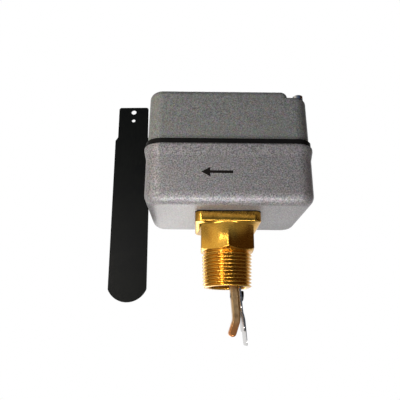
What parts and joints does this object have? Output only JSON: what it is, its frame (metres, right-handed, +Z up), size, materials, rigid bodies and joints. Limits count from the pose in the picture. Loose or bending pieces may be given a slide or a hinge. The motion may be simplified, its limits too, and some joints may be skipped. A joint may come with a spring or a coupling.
{
  "type": "paddle flow switch",
  "caption": "Flow switch: two-part metal housing on a brass pipe body; a sprung lever with thin blades swings in the flow and works a snap switch inside.",
  "frame": {"origin": "on the pipe thread's axis, at the shoulder where the thread meets the hexagon", "axes": "+Z up, out of the pipe towards the housing; the flow runs towards -X; -Y is the front"},
  "size_m": [0.1468, 0.0792, 0.1921],
  "materials": {
    "case_paint": "hammered metallic paint",
    "cover_paint": "hammered metallic paint",
    "rubber": "matt",
    "brass": "machined",
    "lever_brass": "dull forged",
    "blade_steel": "thin rolled sheet",
    "dark_blade": "dark blued sheet",
    "dark_screw": "blackened",
    "plated_steel": "zinc plated",
    "bright_screw": "nickel plated",
    "spring_steel": "drawn wire",
    "bronze": "formed phosphor bronze",
    "switch_plastic": "moulded phenolic",
    "plunger_plastic": "moulded"
  },
  "bodies": {
    "housing": {"brass_body": "brass", "flange_gasket": "rubber", "lower_case": "case_paint", "cover_gasket": "rubber", "pivot_bracket": "plated_steel", "flange_screws": "plated_steel", "pivot_pin": "bright_screw", "pivot_clips": "spring_steel", "spare_paddle": "dark_blade", "sealing_bellows": "bronze", "spring_bridge": "plated_steel", "bridge_screws": "bright_screw", "range_spring": "spring_steel", "switch_bracket": "plated_steel", "bracket_screws": "bright_screw", "switch_case": "switch_plastic", "switch_screws": "bright_screw", "switch_terminals": "brass", "terminal_screws": "bright_screw", "earth_screw": "brass", "earth_washer": "brass"},
    "cover": {"top_cover": "cover_paint", "cover_screws": "bright_screw"},
    "paddle_arm": {"paddle_lever": "lever_brass", "short_paddle": "blade_steel", "medium_paddle": "blade_steel", "long_paddle": "blade_steel", "paddle_screw": "dark_screw", "paddle_pin": "blade_steel", "switch_lever": "plated_steel", "lever_screws": "bright_screw"},
    "plunger": {"switch_plunger": "plunger_plastic"},
    "setting_screw": {"range_screw": "bright_screw", "range_clip": "spring_steel"},
    "nut": {"range_nut": "brass"}
  },
  "joints": [
    {"name": "paddle_swing", "type": "hinge", "parent": "housing", "child": "paddle_arm", "pos_m": [0, 0, 0.0345], "axis": [0, 1, 0], "range_deg": [0, 10.6], "stiffness_Nm_per_rad": 0.08, "springref_deg": -17.19, "deforming": ["range_spring", "sealing_bellows"]},
    {"name": "plunger_travel", "type": "slide", "parent": "housing", "child": "plunger", "axis": [1, 0, 0], "range_m": [0, 0.0025]},
    {"name": "range_screw_turn", "type": "hinge", "parent": "housing", "child": "setting_screw", "pos_m": [-0.028, 0, 0.066], "axis": [0, 0, 1], "range_deg": [0, 1081]},
    {"name": "range_nut_travel", "type": "slide", "parent": "housing", "child": "nut", "axis": [0, 0, 1], "range_m": [-0.0021, 0], "deforming": ["range_spring"]},
    {"name": "cover_lift", "type": "slide", "parent": "housing", "child": "cover", "axis": [0, 0, 1], "range_m": [0, 0.06]}
  ],
  "couplings": [
    {"joint": "plunger_travel", "follows": "paddle_swing", "m_per_rad": 0.013},
    {"joint": "range_screw_turn", "follows": "range_nut_travel", "rad_per_m": -8976}
  ]
}
